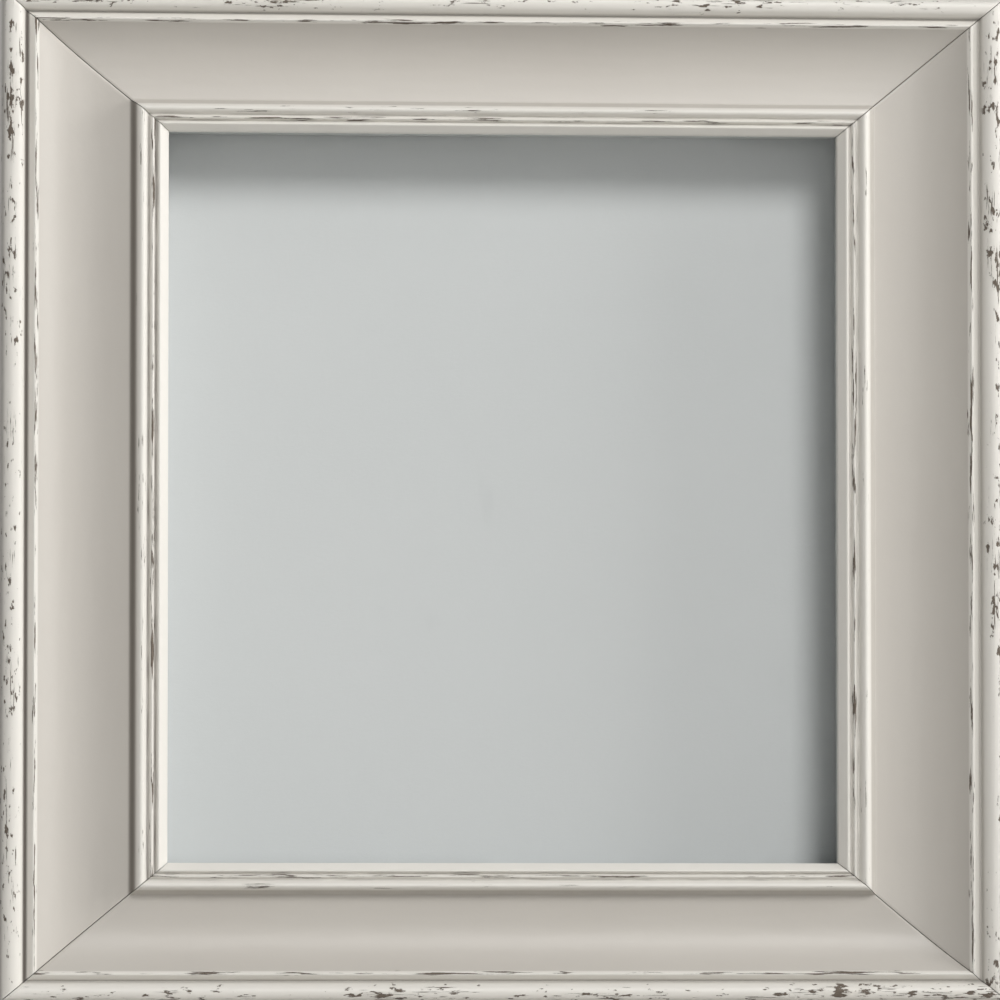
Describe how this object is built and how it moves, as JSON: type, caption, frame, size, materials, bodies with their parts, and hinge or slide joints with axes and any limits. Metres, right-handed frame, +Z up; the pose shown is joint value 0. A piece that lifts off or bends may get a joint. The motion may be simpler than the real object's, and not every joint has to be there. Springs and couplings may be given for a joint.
{
  "type": "shadow box",
  "caption": "Deep wall display case: wide distressed scoop moulding, glass, lined display space, and a lift-out back held by bent tabs.",
  "frame": {"origin": "on the floor plane under the middle of the box, midway between its rim and its rear bumpers", "axes": "+X to the right seen from the front, +Z up, and the glass faces -Y"},
  "size_m": [0.4, 0.0628, 0.4],
  "materials": {
    "distressed_paint": "satin white paint, rubbed through to dark wood along the beads",
    "raw_pine": "sanded pine, painted on its outer edge",
    "painted_lining": "flat paint",
    "mount_board": "uncoated paper-faced board, pale blue-grey",
    "hardboard": "bare pressed fibre",
    "clear_glass": "polished",
    "bright_steel": "zinc plated",
    "spring_steel": "rolled strip",
    "nickel_plate": "bright nickel plate",
    "soft_rubber": "matte"
  },
  "bodies": {
    "case": {"moulding_left": "distressed_paint", "moulding_top": "distressed_paint", "moulding_right": "distressed_paint", "moulding_bottom": "distressed_paint", "v_nail_left_1": "bright_steel", "v_nail_left_2": "bright_steel", "v_nail_top_1": "bright_steel", "v_nail_top_2": "bright_steel", "v_nail_right_1": "bright_steel", "v_nail_right_2": "bright_steel", "v_nail_bottom_1": "bright_steel", "v_nail_bottom_2": "bright_steel", "glass": "clear_glass", "lining_left": "painted_lining", "lining_top": "painted_lining", "lining_right": "painted_lining", "lining_bottom": "painted_lining", "back_frame_left": "raw_pine", "back_frame_top": "raw_pine", "back_frame_right": "raw_pine", "back_frame_bottom": "raw_pine", "frame_screw_left_1": "bright_steel", "frame_screw_left_2": "bright_steel", "frame_screw_top_1": "bright_steel", "frame_screw_top_2": "bright_steel", "frame_screw_right_1": "bright_steel", "frame_screw_right_2": "bright_steel", "frame_screw_bottom_1": "bright_steel", "frame_screw_bottom_2": "bright_steel", "tab_root_left_low": "spring_steel", "tab_root_left_high": "spring_steel", "tab_root_top": "spring_steel", "tab_root_right_high": "spring_steel", "tab_root_right_low": "spring_steel", "tab_root_bottom": "spring_steel", "strap_left": "nickel_plate", "strap_right": "nickel_plate", "strap_screw_left_1": "bright_steel", "strap_screw_left_2": "bright_steel", "strap_screw_right_1": "bright_steel", "strap_screw_right_2": "bright_steel", "bumper_left": "soft_rubber", "bumper_right": "soft_rubber"},
    "back": {"back_panel": "hardboard", "display_board": "mount_board"},
    "tab_left_low": {"tab_left_low": "spring_steel"},
    "tab_left_high": {"tab_left_high": "spring_steel"},
    "tab_top": {"tab_top": "spring_steel"},
    "tab_right_high": {"tab_right_high": "spring_steel"},
    "tab_right_low": {"tab_right_low": "spring_steel"},
    "tab_bottom": {"tab_bottom": "spring_steel"},
    "ring_left": {"ring_left": "nickel_plate"},
    "ring_right": {"ring_right": "nickel_plate"}
  },
  "joints": [
    {"name": "back_lift", "type": "slide", "parent": "case", "child": "back", "axis": [0, 1, 0], "range_m": [0, 0.07], "deforming": ["tab_left_low", "tab_left_high", "tab_top", "tab_right_high", "tab_right_low", "tab_bottom"]},
    {"name": "tab_left_low_bend", "type": "hinge", "parent": "case", "child": "tab_left_low", "pos_m": [-0.13975, 0.01835, 0.125], "axis": [0, 0, 1], "range_deg": [0, 85]},
    {"name": "tab_left_high_bend", "type": "hinge", "parent": "case", "child": "tab_left_high", "pos_m": [-0.13975, 0.01835, 0.275], "axis": [0, 0, 1], "range_deg": [0, 85]},
    {"name": "tab_top_bend", "type": "hinge", "parent": "case", "child": "tab_top", "pos_m": [0, 0.01835, 0.35013], "axis": [1, 0, 0], "range_deg": [0, 85]},
    {"name": "tab_right_high_bend", "type": "hinge", "parent": "case", "child": "tab_right_high", "pos_m": [0.13975, 0.01835, 0.275], "axis": [0, 0, -1], "range_deg": [0, 85]},
    {"name": "tab_right_low_bend", "type": "hinge", "parent": "case", "child": "tab_right_low", "pos_m": [0.13975, 0.01835, 0.125], "axis": [0, 0, -1], "range_deg": [0, 85]},
    {"name": "tab_bottom_bend", "type": "hinge", "parent": "case", "child": "tab_bottom", "pos_m": [0, 0.01835, 0.04987], "axis": [-1, 0, 0], "range_deg": [0, 85]},
    {"name": "ring_left_swing", "type": "hinge", "parent": "case", "child": "ring_left", "pos_m": [-0.154, 0.02855, 0.29], "axis": [0, 0, 1], "range_deg": [0, 170]},
    {"name": "ring_right_swing", "type": "hinge", "parent": "case", "child": "ring_right", "pos_m": [0.154, 0.02855, 0.29], "axis": [0, 0, -1], "range_deg": [0, 170]}
  ]
}
